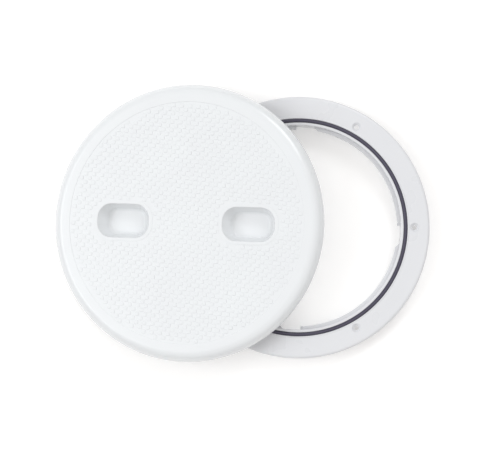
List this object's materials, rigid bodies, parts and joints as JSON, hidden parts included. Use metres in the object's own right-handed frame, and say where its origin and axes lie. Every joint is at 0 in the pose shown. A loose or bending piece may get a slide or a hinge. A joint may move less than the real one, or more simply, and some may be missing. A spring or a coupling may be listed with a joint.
{
  "type": "deck inspection plate",
  "caption": "Round screw-down deck plate: flanged ring with bayonet ledges and O-ring, its recessed twist-off lid removed and leaning on the ring.",
  "frame": {"origin": "centre of the ring, on the face of the flange that lies on the deck", "axes": "+Z out of the deck, +X through the screw hole farthest from the leaning lid"},
  "size_m": [0.3719, 0.273, 0.0678],
  "materials": {
    "ring": "satin moulded",
    "seal": "matte",
    "lid": "satin moulded with a fine non-slip field"
  },
  "bodies": {
    "root": {"ring": "ring", "seal": "seal", "lid": "lid"}
  },
  "joints": []
}
